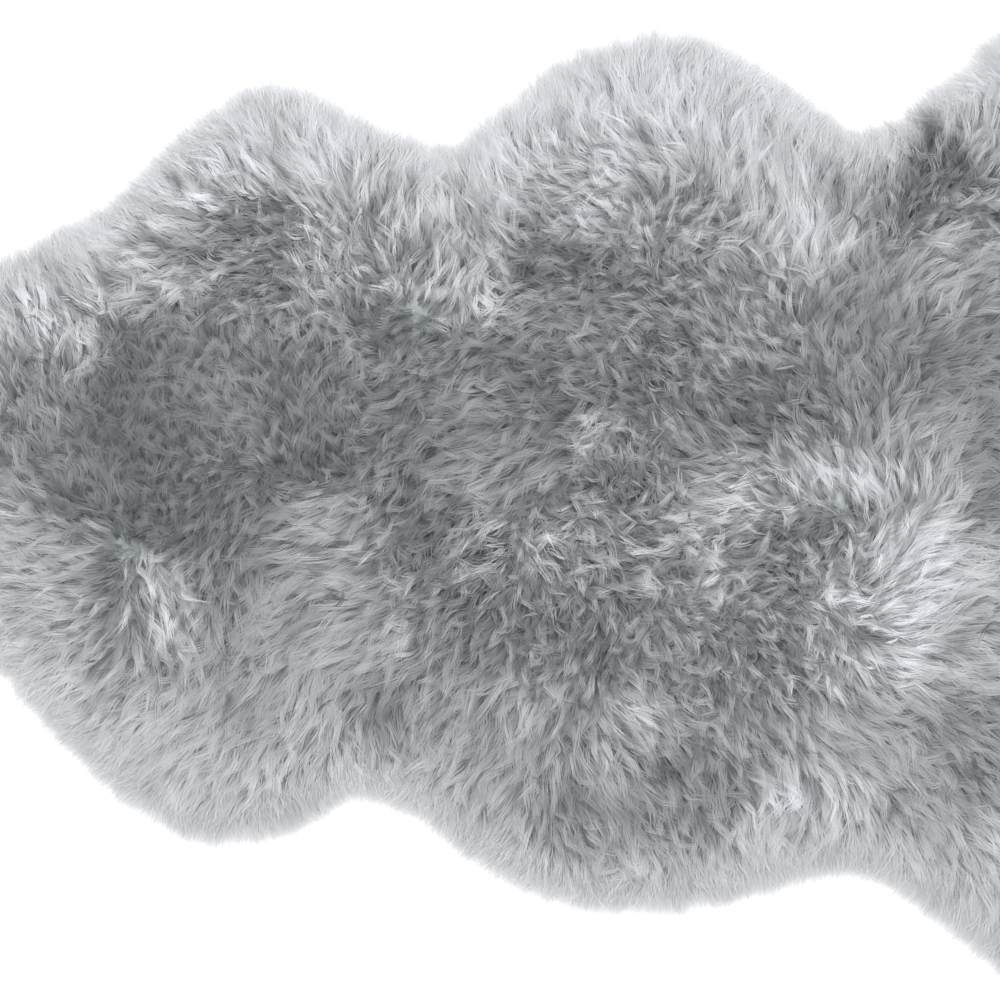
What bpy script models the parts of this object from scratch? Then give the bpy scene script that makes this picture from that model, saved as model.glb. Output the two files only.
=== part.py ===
"""A sheepskin rug: one whole pelt with its wool on, lying flat with the wool side up.

It is a single closed solid, from the flesh side of the skin, flat on the floor, to the tips of the wool.
Metres, +Z up. +X runs from the neck to the rump and +Y towards the left flank. The origin lies on the
floor under the middle of the rug.
"""

import math

import bmesh
import bpy
import numpy as np

LENGTH = 0.955  # neck to rump, over the wool
WIDTH = 0.680  # haunch to haunch, over the wool
PILE_HEIGHT = 0.046  # floor to the wool tips, where the rug is neither swollen nor hollow
BULGE_HEIGHT = 0.014  # the wool reaches furthest out at this height
CROWN_WIDTH = 0.075  # the wool rises from that bulge to its full height over this width
TUCK_WIDTH = 0.012  # the underside starts this far inside the outline

SPINE_START = -0.325
SPINE_END = 0.270
SPINE_ACROSS = 0.010
COLUMN_SPACING = 0.018  # along the outline
POINTS_PER_SPAN = 40  # of the smooth outline, between two landmarks

TUCK_RINGS = 3
CROWN_RINGS = 6
INNER_RINGS = 6

WOOL_COLOUR = (0.36, 0.37, 0.38, 1.0)
WOOL_ROUGHNESS = 0.9

# The edge of the wool, from the nose of the neck along the left side to the rump and back along the right.
EDGE_LANDMARKS = (
    # landmark, along, across
    ("neck", -0.478, 0.034),
    ("neck_left", -0.444, 0.112),
    ("throat_left", -0.362, 0.163),
    ("nape_left", -0.304, 0.191),
    ("shoulder_left_front", -0.260, 0.231),
    ("shoulder_left_rise", -0.218, 0.268),
    ("shoulder_left", -0.178, 0.281),
    ("shoulder_left_fall", -0.132, 0.264),
    ("elbow_left", -0.098, 0.247),
    ("girth_left", -0.064, 0.238),
    ("belly_left_front", -0.026, 0.264),
    ("belly_left_rise", 0.020, 0.297),
    ("belly_left", 0.084, 0.315),
    ("belly_left_back", 0.134, 0.302),
    ("belly_left_fall", 0.180, 0.272),
    ("flank_left", 0.220, 0.247),
    ("haunch_left_rise", 0.276, 0.279),
    ("haunch_left_front", 0.332, 0.330),
    ("haunch_left", 0.392, 0.336),
    ("hip_left", 0.438, 0.285),
    ("rump_left", 0.466, 0.170),
    ("rump", 0.477, 0.004),
    ("rump_right", 0.468, -0.168),
    ("hip_right", 0.438, -0.286),
    ("haunch_right", 0.388, -0.336),
    ("haunch_right_front", 0.336, -0.334),
    ("haunch_right_rise", 0.281, -0.297),
    ("flank_right_back", 0.240, -0.267),
    ("flank_right", 0.206, -0.258),
    ("belly_right_fall", 0.150, -0.271),
    ("belly_right_back", 0.104, -0.284),
    ("belly_right", 0.060, -0.284),
    ("belly_right_rise", 0.008, -0.277),
    ("belly_right_front", -0.040, -0.250),
    ("girth_right", -0.086, -0.220),
    ("elbow_right", -0.122, -0.205),
    ("shoulder_right_fall", -0.166, -0.227),
    ("shoulder_right", -0.214, -0.239),
    ("shoulder_right_front", -0.264, -0.222),
    ("shoulder_right_rise", -0.308, -0.186),
    ("throat_right", -0.366, -0.124),
    ("neck_right", -0.436, -0.044),
)

# Where the pelt and its wool swell above the pile's height or sink below it.
SWELLS = (
    # place, along, across, radius, rise
    ("shoulder_left_crown", -0.185, 0.225, 0.080, 0.004),
    ("withers_hollow", -0.200, 0.050, 0.110, -0.005),
    ("shoulder_right_crown", -0.262, -0.100, 0.070, 0.004),
    ("ribs_right_crown", -0.140, -0.075, 0.070, 0.003),
    ("belly_left_crown", 0.085, 0.255, 0.090, 0.005),
    ("ribs_left_hollow", 0.040, 0.145, 0.070, -0.004),
    ("loin_ridge", 0.175, 0.012, 0.060, 0.005),
    ("loin_hollow", 0.175, -0.058, 0.050, -0.006),
    ("haunch_right_crown", 0.265, -0.090, 0.075, 0.005),
    ("flank_left_hollow", 0.270, 0.225, 0.055, -0.006),
    ("belly_right_crown", 0.060, -0.170, 0.080, 0.003),
    ("croup_crown", 0.380, 0.060, 0.090, 0.003),
)


def clear_scene():
    """Removes every object that the scene starts with."""
    for thing in list(bpy.data.objects):
        bpy.data.objects.remove(thing)


def smooth_loop(points, steps):
    """A closed Catmull-Rom curve through the points, as a dense polyline."""
    before, start = np.roll(points, 1, axis=0), points
    end, after = np.roll(points, -1, axis=0), np.roll(points, -2, axis=0)
    spans = []
    for share in np.arange(steps) / steps:
        bend = 2 * before - 5 * start + 4 * end - after
        twist = -before + 3 * start - 3 * end + after
        spans.append(start + 0.5 * share * (end - before + share * (bend + share * twist)))
    return np.stack(spans, axis=1).reshape(-1, 2)


def wool_outline():
    """The outline in plan, with its box centred on the origin and LENGTH by WIDTH."""
    landmarks = np.array([row[1:] for row in EDGE_LANDMARKS])
    loop = smooth_loop(landmarks, POINTS_PER_SPAN)
    low, high = loop.min(axis=0), loop.max(axis=0)
    return (loop - (low + high) / 2) * np.array([LENGTH, WIDTH]) / (high - low)


def distance_to_edge(places, outline):
    """How far each place in plan lies from the outline."""
    start, run = outline, np.roll(outline, -1, axis=0) - outline
    offset = places[:, None, :] - start
    share = ((offset * run).sum(axis=2) / (run * run).sum(axis=1)).clip(0, 1)
    return np.linalg.norm(offset - share[..., None] * run, axis=2).min(axis=1)


def evenly_spaced(path, spacing):
    """Points of an open path at even steps, both of its ends included."""
    along = np.append(0, np.cumsum(np.linalg.norm(np.diff(path, axis=0), axis=1)))
    stations = np.linspace(0, along[-1], round(along[-1] / spacing) + 1)
    return np.column_stack([np.interp(stations, along, path[:, axis]) for axis in (0, 1)])


def side_of(outline, sign):
    """Edge points on one flank, one straight out from each station of the spine."""
    count = round((SPINE_END - SPINE_START) / COLUMN_SPACING) + 1
    stations = np.linspace(SPINE_START, SPINE_END, count)
    flank = outline[outline[:, 1] * sign > 0]
    flank = flank[np.argsort(flank[:, 0])]
    return np.column_stack([stations, np.interp(stations, flank[:, 0], flank[:, 1])])


def columns(outline):
    """Matching points on the edge and on the spine, once round the rug from the left of the neck."""
    left, right = side_of(outline, 1), side_of(outline, -1)
    rump = outline[outline[:, 0] > SPINE_END]
    neck = np.roll(outline, len(outline) // 2, axis=0)
    neck = neck[neck[:, 0] < SPINE_START]
    rump_turn = evenly_spaced(np.vstack([left[-1:], rump, right[-1:]]), COLUMN_SPACING)[1:-1]
    neck_turn = evenly_spaced(np.vstack([right[:1], neck, left[:1]]), COLUMN_SPACING)[1:-1]
    edge = np.vstack([left, rump_turn, right[::-1], neck_turn])
    spine = np.full_like(edge, SPINE_ACROSS)
    spine[:, 0] = edge[:, 0].clip(SPINE_START, SPINE_END)
    return edge, spine


def swell_at(places):
    """The rise of the wool above its even height at each place."""
    rise = np.zeros(len(places))
    for _, along, across, radius, height in SWELLS:
        apart = np.linalg.norm(places - (along, across), axis=1)
        rise += height * np.exp(-((apart / radius) ** 2))
    return rise


def wool_top(places, outline):
    """The height of the wool's top, which turns over at the edge like a quarter of an ellipse."""
    share = (distance_to_edge(places, outline) / CROWN_WIDTH).clip(0, 1)
    crown = np.sqrt(1 - (1 - share) ** 2)
    return BULGE_HEIGHT + crown * (PILE_HEIGHT - BULGE_HEIGHT + share * swell_at(places))


def inward(edge, spine, distance):
    """Points the given distance in from the edge, each on its own line to the spine."""
    reach = np.linalg.norm(spine - edge, axis=1)
    return edge + (spine - edge) * (distance / reach)[:, None]


def wool_rings(outline):
    """Rings of points from the underside's rim, out round the bulge and over the top to the spine."""
    edge, spine = columns(outline)
    rings = []
    for turn in np.linspace(0, math.pi / 2, TUCK_RINGS, endpoint=False):
        plan = inward(edge, spine, TUCK_WIDTH * (1 - math.sin(turn)))
        height = BULGE_HEIGHT * (1 - math.cos(turn))
        rings.append(np.column_stack([plan, np.full(len(plan), height)]))
    for turn in np.linspace(0, math.pi / 2, CROWN_RINGS, endpoint=False):
        plan = inward(edge, spine, CROWN_WIDTH * (1 - math.cos(turn)))
        rings.append(np.column_stack([plan, wool_top(plan, outline)]))
    crown_top = inward(edge, spine, CROWN_WIDTH)
    for share in np.linspace(0, 1, INNER_RINGS):
        plan = crown_top + (spine - crown_top) * share
        rings.append(np.column_stack([plan, wool_top(plan, outline)]))
    return rings


def wool_material():
    """The dyed wool's grey."""
    material = bpy.data.materials.new("grey_wool")
    material.use_nodes = True
    shader = material.node_tree.nodes["Principled BSDF"]
    shader.inputs["Base Color"].default_value = WOOL_COLOUR
    shader.inputs["Roughness"].default_value = WOOL_ROUGHNESS
    shader.inputs["Metallic"].default_value = 0.0
    return material


def make_sheepskin():
    """The pelt with its wool, as one solid that is flat underneath."""
    body = bmesh.new()
    rings = [[body.verts.new(point) for point in ring] for ring in wool_rings(wool_outline())]
    body.faces.new(rings[0])
    for lower, upper in zip(rings, rings[1:]):
        for here in range(len(lower)):
            there = (here + 1) % len(lower)
            body.faces.new((lower[here], lower[there], upper[there], upper[here]))
    # The two flanks meet along the spine, where their last rings hold the same points.
    bmesh.ops.remove_doubles(body, verts=rings[-1], dist=1e-5)
    bmesh.ops.recalc_face_normals(body, faces=body.faces)
    mesh = bpy.data.meshes.new("sheepskin")
    body.to_mesh(mesh)
    body.free()
    mesh.shade_smooth()
    mesh.set_sharp_from_angle(angle=math.radians(50))
    mesh.materials.append(wool_material())
    sheepskin = bpy.data.objects.new("sheepskin", mesh)
    bpy.context.collection.objects.link(sheepskin)
    return sheepskin


clear_scene()
make_sheepskin()
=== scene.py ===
"""The looks of a grey sheepskin rug, seen from above on a pale studio floor.

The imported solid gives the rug's outline and the height of its wool. On it lie a thin suede hide, the dense
underwool that grows from it, and the long locks, strand by strand, combed the way the table below says.
Metres, +Z up, +X from the neck to the rump and +Y towards the left flank.
"""

import logging
import math
from collections.abc import Iterable, Sequence
from dataclasses import dataclass, field
from enum import Enum

import bpy
import numpy as np
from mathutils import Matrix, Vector
from mathutils.bvhtree import BVHTree


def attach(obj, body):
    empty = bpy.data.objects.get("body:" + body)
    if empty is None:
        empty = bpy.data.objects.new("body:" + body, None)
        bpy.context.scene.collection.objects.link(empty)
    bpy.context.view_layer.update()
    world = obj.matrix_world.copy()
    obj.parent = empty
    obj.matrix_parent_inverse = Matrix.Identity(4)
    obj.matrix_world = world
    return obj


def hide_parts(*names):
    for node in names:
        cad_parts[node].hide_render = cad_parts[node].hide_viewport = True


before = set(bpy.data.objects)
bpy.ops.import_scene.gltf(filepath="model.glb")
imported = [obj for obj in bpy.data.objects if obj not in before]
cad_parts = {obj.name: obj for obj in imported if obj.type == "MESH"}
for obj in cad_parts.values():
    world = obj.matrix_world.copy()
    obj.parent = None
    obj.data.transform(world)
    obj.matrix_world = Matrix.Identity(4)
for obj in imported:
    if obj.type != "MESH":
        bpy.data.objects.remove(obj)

log = logging.getLogger("sheepskin_rug")

SHEEPSKIN_NODE = "sheepskin"
BODY = "root"
SEED = 1912
MM_IN_METRE = 1000

# How the wool is combed and how light it looks. Places and reaches are in millimetres, headings in degrees
# from +X towards +Y. Lean runs from 0, upright, to 1, flat, and parting from 0, a closed soft surface, to
# 1, locks with dark gaps between them, partly shade that the locks cast and partly painted shade. Lightness
# is the wool's own grey together with painted light and shade where its lay catches or hides the light.
COMBING = (
    # place, along, across, reach, heading, lean, curl, parting, lightness
    ("poll", -420, 40, 50, 175, 0.8, 0.3, 0.3, 0.58),
    ("cheek_left", -390, 90, 35, 135, 0.9, 0.2, 0.3, 0.64),
    ("cheek_right", -385, -60, 45, 215, 0.9, 0.2, 0.3, 0.62),
    ("throat_left", -340, 140, 26, 130, 0.9, 0.3, 0.7, 0.71),
    ("throat_left_streak", -328, 106, 26, 115, 1.0, 0.2, 1.0, 0.70),
    ("nape_left", -355, 62, 32, 100, 0.5, 0.7, 0.75, 0.54),
    ("nape", -265, 45, 45, 105, 0.3, 1.1, 0.35, 0.47),
    ("nape_front", -320, 20, 30, 110, 0.5, 0.7, 0.4, 0.52),
    ("nape_right", -340, -45, 34, 185, 0.8, 0.4, 0.4, 0.62),
    ("throat_right", -325, -100, 34, 210, 0.9, 0.2, 0.3, 0.60),
    ("withers_left", -230, 100, 34, 65, 0.3, 1.0, 0.4, 0.53),
    ("withers", -205, 60, 34, 135, 0.3, 1.0, 0.35, 0.53),
    ("withers_back", -160, 65, 36, 100, 0.45, 0.7, 0.6, 0.50),
    ("withers_right", -215, -10, 32, 240, 0.35, 0.8, 0.5, 0.50),
    ("shoulder_left_front", -262, 176, 30, 150, 0.9, 0.4, 0.5, 0.67),
    ("shoulder_left", -222, 212, 28, 140, 0.9, 0.3, 0.8, 0.76),
    ("shoulder_left_crest", -176, 245, 34, 125, 1.0, 0.2, 0.2, 0.63),
    ("shoulder_left_back", -132, 232, 30, 145, 1.0, 0.2, 0.05, 0.69),
    ("blade_left_front", -245, 148, 24, 190, 0.8, 0.6, 0.9, 0.65),
    ("blade_left", -195, 178, 26, 180, 0.7, 0.6, 1.0, 0.61),
    ("blade_left_low", -195, 140, 26, 200, 0.6, 0.9, 0.9, 0.60),
    ("blade_left_back", -134, 166, 28, 120, 0.7, 0.7, 1.0, 0.72),
    ("blade_left_hollow", -128, 120, 28, 125, 0.4, 0.9, 0.7, 0.59),
    ("elbow_left", -104, 195, 28, 85, 0.8, 0.4, 0.7, 0.67),
    ("ribs_left_front", -56, 172, 28, 105, 0.9, 0.4, 0.6, 0.61),
    ("ribs_left_streak", -64, 136, 24, 70, 1.0, 0.2, 0.9, 0.74),
    ("girth_left", -6, 240, 34, 80, 0.9, 0.3, 0.15, 0.66),
    ("belly_left_front", 16, 212, 26, 155, 0.8, 0.6, 0.8, 0.67),
    ("ribs_left", 45, 192, 26, 190, 0.6, 1.1, 0.8, 0.74),
    ("ribs_left_hollow", 30, 152, 26, 170, 0.5, 1.0, 0.8, 0.56),
    ("ribs_left_low", 30, 106, 32, 190, 0.5, 0.8, 0.6, 0.57),
    ("belly_left_inner", 78, 222, 28, 130, 0.8, 0.5, 0.3, 0.66),
    ("belly_left_pit", 104, 178, 26, 50, 0.5, 1.0, 0.7, 0.63),
    ("belly_left", 95, 276, 40, 90, 1.0, 0.2, 0.05, 0.66),
    ("belly_left_back", 158, 210, 32, 85, 0.9, 0.3, 0.3, 0.64),
    ("flank_left_inner", 185, 168, 26, 70, 0.9, 0.3, 0.3, 0.67),
    ("flank_left", 222, 205, 28, 85, 0.8, 0.4, 0.8, 0.57),
    ("back_left_front", 82, 112, 30, 160, 0.5, 0.8, 0.8, 0.56),
    ("back_left", 80, 72, 28, 130, 0.4, 1.1, 1.0, 0.57),
    ("loin_left_front", 140, 112, 34, 135, 0.5, 0.8, 0.7, 0.60),
    ("loin_left", 150, 58, 30, 150, 0.5, 0.8, 0.8, 0.51),
    ("loin_left_back", 222, 122, 34, 65, 0.5, 0.6, 0.3, 0.53),
    ("loin_left_low", 218, 66, 32, 110, 0.5, 0.7, 0.5, 0.56),
    ("back_front", -87, 95, 30, 230, 0.4, 0.9, 0.5, 0.52),
    ("back_front_right", -85, 48, 28, 220, 0.5, 0.8, 0.6, 0.51),
    ("back_middle", -30, 30, 32, 200, 0.8, 0.4, 0.4, 0.55),
    ("back_middle_left", 2, 72, 30, 200, 0.5, 0.9, 0.7, 0.51),
    ("back_tuft", 42, 45, 16, 230, 0.8, 0.9, 0.8, 0.63),
    ("back_shade", 70, 20, 24, 105, 0.4, 1.1, 1.0, 0.57),
    ("back_low", -30, -8, 24, 195, 0.7, 0.6, 1.0, 0.58),
    ("back_right_front", -78, -22, 26, 230, 0.5, 0.7, 0.85, 0.54),
    ("back_right", -40, -50, 28, 215, 0.6, 0.9, 1.0, 0.63),
    ("back_right_curls", 25, -48, 30, 325, 0.6, 1.1, 1.0, 0.65),
    ("back_right_streaks", 75, -35, 26, 365, 0.7, 0.9, 1.0, 0.63),
    ("loin_ridge_front", 105, 10, 22, 135, 1.0, 0.2, 1.0, 0.59),
    ("loin_ridge", 134, -2, 30, 190, 1.0, 0.3, 0.8, 0.69),
    ("loin_ridge_back", 190, 10, 26, 120, 0.9, 0.3, 0.5, 0.74),
    ("loin_ridge_end", 228, 8, 24, 110, 0.9, 0.3, 0.6, 0.73),
    ("loin_hollow", 192, -30, 22, 255, 0.4, 0.9, 1.0, 0.60),
    ("loin_hollow_front", 150, -46, 28, 370, 0.5, 1.2, 0.9, 0.56),
    ("loin_curls", 120, -75, 28, 400, 0.4, 1.3, 0.7, 0.67),
    ("croup_ridge", 276, 42, 26, 45, 0.8, 0.4, 0.3, 0.60),
    ("croup_shade", 312, 12, 28, 0, 0.5, 0.6, 0.3, 0.50),
    ("loin_left_fall", 185, 38, 22, 125, 0.6, 0.5, 1.0, 0.53),
    ("loin_left_end", 242, 40, 24, 65, 0.7, 0.4, 0.4, 0.62),
    ("croup_shade_front", 280, 4, 22, 60, 0.7, 0.4, 0.3, 0.65),
    ("croup_fan_root", 230, -50, 20, 60, 0.9, 0.2, 0.8, 0.77),
    ("croup_fan_left", 268, -48, 24, 25, 1.0, 0.2, 0.4, 0.72),
    ("croup_fan", 250, -80, 24, 10, 1.0, 0.3, 0.4, 0.70),
    ("croup_fan_back", 300, -62, 32, 360, 1.0, 0.2, 0.2, 0.63),
    ("croup_fan_right", 240, -112, 24, 350, 0.9, 0.4, 0.5, 0.78),
    ("croup_right", 296, -112, 32, 345, 0.9, 0.3, 0.3, 0.60),
    ("hip_left_hollow", 268, 230, 28, 80, 0.35, 1.4, 1.0, 0.48),
    ("hip_left", 290, 186, 26, 350, 0.7, 0.9, 1.0, 0.61),
    ("hip_left_low", 278, 145, 28, 30, 0.9, 0.4, 0.5, 0.60),
    ("croup_left", 300, 82, 34, 5, 0.6, 0.5, 0.2, 0.49),
    ("haunch_left", 350, 250, 50, 60, 0.9, 0.4, 0.4, 0.64),
    ("croup_back", 360, 90, 50, 15, 0.7, 0.5, 0.4, 0.56),
    ("tail", 430, 0, 55, 0, 0.9, 0.3, 0.3, 0.63),
    ("croup_back_right", 370, -80, 50, 350, 0.8, 0.4, 0.4, 0.58),
    ("haunch_right", 370, -240, 55, 305, 0.9, 0.3, 0.3, 0.66),
    ("haunch_right_front", 292, -272, 30, 285, 0.9, 0.3, 0.1, 0.61),
    ("flank_right_back", 266, -222, 30, 310, 0.7, 0.5, 0.1, 0.58),
    ("haunch_right_shade", 296, -180, 34, 325, 0.8, 0.4, 0.5, 0.54),
    ("loin_right_back", 240, -150, 30, 325, 0.8, 0.4, 0.3, 0.58),
    ("loin_right_light", 196, -168, 30, 320, 0.9, 0.3, 0.3, 0.59),
    ("flank_right", 190, -212, 30, 250, 0.9, 0.3, 0.4, 0.68),
    ("loin_right", 196, -112, 26, 310, 0.8, 0.4, 1.0, 0.69),
    ("loin_right_hollow", 142, -112, 32, 295, 0.4, 1.1, 0.8, 0.57),
    ("belly_right_back", 146, -165, 28, 300, 0.8, 0.5, 0.6, 0.58),
    ("belly_right_curls", 85, -100, 28, 290, 0.4, 1.3, 0.5, 0.56),
    ("back_right_hollow", 15, -88, 30, 240, 0.4, 1.0, 0.8, 0.54),
    ("back_right_low", -45, -95, 28, 235, 0.5, 0.8, 0.6, 0.52),
    ("belly_fan_front", -50, -150, 32, 225, 0.9, 0.3, 0.4, 0.57),
    ("belly_fan", 0, -150, 28, 245, 0.9, 0.4, 0.4, 0.60),
    ("belly_fan_middle", 32, -160, 18, 285, 0.9, 0.3, 0.4, 0.56),
    ("belly_fan_back", 62, -168, 26, 315, 0.9, 0.4, 0.7, 0.67),
    ("belly_right_shade", 96, -205, 34, 275, 0.6, 0.7, 0.5, 0.53),
    ("belly_right", 40, -225, 36, 315, 0.8, 0.4, 0.4, 0.54),
    ("belly_right_front", -40, -205, 30, 250, 0.9, 0.3, 0.3, 0.58),
    ("girth_right", -98, -158, 26, 270, 0.9, 0.3, 0.6, 0.52),
    ("elbow_right", -150, -165, 32, 235, 0.9, 0.3, 0.3, 0.59),
    ("ribs_right_front", -118, -95, 30, 215, 0.8, 0.4, 0.3, 0.60),
    ("ribs_front", -150, -45, 34, 195, 0.8, 0.4, 0.5, 0.59),
    ("blade_right_back", -165, -110, 30, 230, 0.8, 0.4, 0.2, 0.58),
    ("blade_right", -208, -60, 28, 270, 0.6, 0.6, 0.4, 0.53),
    ("blade_right_low", -210, -128, 30, 235, 0.8, 0.4, 0.3, 0.56),
    ("shoulder_right_streak", -258, -85, 26, 290, 1.0, 0.3, 0.8, 0.70),
    ("shoulder_right_front", -290, -118, 28, 220, 0.8, 0.3, 0.4, 0.57),
    ("shoulder_right", -248, -168, 34, 230, 0.9, 0.3, 0.1, 0.61),
    ("shoulder_right_tip", -208, -208, 34, 230, 0.9, 0.2, 0.05, 0.61),
)

# Painted shade where locks part and their gaps fall dark, below 0, and painted highlights where locks lie
# together and catch the light, above 0. Places and sizes are in millimetres. Length runs along the heading,
# in degrees, and breadth across it.
MARKS = {
    # place: along, across, length, breadth, heading, change
    "throat_left": (
        (-344, 117, 22, 10, 95, 0.25),
        (-322, 134, 24, 4, 130, -0.6),
        (-345, 82, 16, 6, 110, -0.5),
        (-290, 110, 14, 6, 120, -0.4),
        (-295, 148, 16, 5, 115, -0.6),
    ),
    "shoulder_left": (
        (-205, 181, 30, 18, 150, -0.4),
        (-250, 147, 24, 12, 190, 0.2),
        (-250, 186, 24, 7, 165, 0.2),
        (-177, 222, 18, 4, 130, -0.6),
        (-212, 203, 14, 5, 130, -0.7),
        (-231, 163, 14, 5, 170, -0.9),
        (-188, 200, 14, 5, 0, -0.6),
        (-205, 224, 12, 4, 125, -0.6),
        (-256, 172, 12, 4, 155, -0.6),
        (-246, 213, 10, 4, 130, -0.6),
    ),
    "blade_left": (
        (-168, 110, 18, 6, 35, 0.2),
        (-157, 170, 16, 5, 10, -0.6),
        (-184, 138, 16, 5, 10, -0.5),
        (-222, 130, 12, 5, 20, -0.5),
        (-130, 152, 14, 4, 130, -0.5),
        (-165, 193, 12, 4, 135, -0.6),
        (-140, 176, 12, 4, 130, -0.6),
    ),
    "elbow_left": (
        (-117, 182, 16, 4, 90, -0.5),
        (-85, 205, 14, 4, 90, -0.4),
    ),
    "ribs_left": (
        (22, 161, 30, 5, 170, -0.7),
        (-10, 152, 16, 6, 70, -0.7),
        (1, 182, 18, 5, 100, -0.7),
        (50, 147, 16, 5, 130, -0.6),
        (-75, 160, 14, 4, 80, -0.5),
    ),
    "belly_left": (
        (135, 214, 24, 14, 85, 0.15),
        (105, 157, 16, 6, 10, -0.5),
        (135, 192, 18, 5, 60, -0.5),
        (68, 216, 16, 5, 130, -0.4),
        (72, 243, 14, 4, 120, -0.6),
    ),
    "flank_left": (
        (178, 190, 22, 12, 85, 0.15),
        (135, 108, 26, 6, 140, 0.2),
        (203, 205, 18, 5, 90, -0.4),
    ),
    "hip_left": (
        (268, 248, 20, 8, 75, -0.9),
        (293, 242, 22, 6, 80, 0.5),
        (284, 234, 18, 6, 70, -0.4),
        (258, 222, 16, 5, 60, -0.5),
    ),
    "back": (
        (-38, 14, 36, 20, 20, 0.15),
        (-76, -40, 30, 10, 95, -0.3),
        (36, 45, 22, 12, 60, 0.35),
        (12, 14, 36, 7, 18, 0.35),
        (-110, -42, 36, 7, 30, 0.25),
        (-102, -80, 44, 5, 30, -0.4),
        (50, 13, 16, 6, 110, -0.6),
        (-72, 31, 10, 5, 50, -0.5),
    ),
    "loin": (
        (72, -66, 32, 10, 175, 0.25),
        (92, -55, 26, 12, 100, -0.5),
        (64, -33, 34, 6, 150, 0.35),
        (-36, -46, 24, 7, 5, -0.6),
        (54, -26, 36, 4, 155, -0.8),
        (-35, -50, 34, 4, 15, 0.3),
        (20, -46, 18, 6, 145, -0.8),
        (50, -55, 18, 6, 165, -0.6),
        (20, -28, 12, 7, 30, 0.4),
        (-38, -62, 16, 5, 60, -0.8),
    ),
    "loin_ridge": (
        (180, -24, 30, 10, 20, -0.5),
        (216, -12, 40, 6, 178, -0.6),
        (222, -54, 18, 5, 85, -0.8),
        (166, 3, 16, 5, 140, -0.5),
    ),
    "croup": (
        (226, -98, 44, 5, 173, -0.9),
        (166, -84, 20, 7, 150, 0.35),
        (199, -72, 16, 6, 120, 0.5),
        (194, -107, 12, 7, 110, -0.6),
        (238, -68, 26, 3, 40, -0.4),
        (234, -46, 24, 3, 55, -0.4),
    ),
    "belly_right": (
        (53, -146, 28, 10, 140, 0.15),
        (87, -188, 24, 8, 150, -0.6),
        (114, -224, 30, 4, 115, -0.4),
        (48, -176, 30, 3, 115, 0.3),
        (43, -107, 18, 4, 70, -0.5),
        (18, -213, 14, 5, 110, -0.5),
        (56, -155, 16, 3, 130, -0.6),
    ),
    "flank_right": (
        (188, -200, 24, 4, 100, -0.4),
        (130, -124, 14, 6, 120, 0.4),
        (124, -131, 16, 5, 95, -0.7),
        (241, -214, 16, 4, 65, -0.5),
        (160, -166, 10, 6, 110, -0.6),
    ),
    "shoulder_right": (
        (-268, -92, 30, 4, 110, -0.7),
        (-245, -78, 26, 4, 110, -0.5),
        (-316, -30, 14, 6, 100, -0.4),
        (-297, -121, 14, 5, 20, -0.5),
        (-256, -118, 10, 5, 70, -0.5),
    ),
}


class Region(Enum):
    """The stretches of the pelt whose wool is one piece each, as shares of its length from the neck."""

    NECK = (0.00, 0.23)
    SHOULDERS = (0.23, 0.37)
    RIBS = (0.37, 0.51)
    BACK = (0.51, 0.64)
    LOIN = (0.64, 0.77)
    CROUP = (0.77, 0.88)
    RUMP = (0.88, 1.00)


def read_table(rows: Iterable[Sequence[float]], lengths: int) -> np.ndarray:
    """Reads a table whose rows start with lengths in millimetres, then a heading in degrees.

    Args:
        rows: The rows, without names.
        lengths: How many columns are lengths.

    Returns:
        The rows, with their lengths in metres and their headings in radians.
    """
    table = np.array(list(rows), float)
    table[:, :lengths] /= MM_IN_METRE
    table[:, lengths] = np.radians(table[:, lengths])
    return table


def named_marks() -> np.ndarray:
    """Reads the table of painted shade and highlight marks: along, across, length, breadth, heading and
    change.
    """
    return read_table((row for rows in MARKS.values() for row in rows), 4)


def deselect_all() -> None:
    """Deselects every object, so that an operator acts on the new piece alone."""
    for thing in bpy.context.selected_objects:
        thing.select_set(False)


def ride_on_rug(piece: bpy.types.Object) -> None:
    """Makes a finished piece part of the rug.

    Args:
        piece: The piece, in place.
    """
    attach(piece, BODY)


def low_pass(values: np.ndarray, reach: float) -> np.ndarray:
    """Smooths a grid of values.

    Args:
        values: The grid, rows across and columns along.
        reach: The standard deviation of the smoothing, in grid steps.

    Returns:
        The smoothed grid.
    """
    rows = np.fft.fftfreq(values.shape[0])[:, None]
    columns = np.fft.rfftfreq(values.shape[1])[None, :]
    fall = np.exp(-2 * (math.pi * reach) ** 2 * (rows**2 + columns**2))
    return np.fft.irfft2(np.fft.rfft2(values) * fall, values.shape)


def paint(mesh: bpy.types.Mesh, attribute: str, colours: np.ndarray) -> None:
    """Gives each point of a mesh its colour.

    Args:
        mesh: The mesh.
        attribute: The name of the colour attribute.
        colours: A colour for each point.
    """
    opaque = np.ones((len(colours), 4), np.float32)
    opaque[:, :3] = colours
    mesh.color_attributes.new(attribute, "FLOAT_COLOR", "POINT").data.foreach_set("color", opaque.ravel())


def new_material(
    name: str, roughness: float, sheen: float = 0.0
) -> tuple[bpy.types.Material, bpy.types.ShaderNode]:
    """Starts a material.

    Args:
        name: Its name.
        roughness: How rough it is.
        sheen: How much light its fibres catch at a slant.

    Returns:
        The material and its shader.
    """
    material = bpy.data.materials.new(name)
    material.use_nodes = True
    shader = material.node_tree.nodes["Principled BSDF"]
    shader.inputs["Roughness"].default_value = roughness
    shader.inputs["Sheen Weight"].default_value = sheen
    return material, shader


def painted_colour(material: bpy.types.Material, attribute: str) -> bpy.types.NodeSocket:
    """Reads a mesh's own colours in a material.

    Args:
        material: The material.
        attribute: The name of the colour attribute.

    Returns:
        The socket that gives the colour.
    """
    shade = material.node_tree.nodes.new("ShaderNodeAttribute")
    shade.attribute_name = attribute
    return shade.outputs["Color"]


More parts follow.
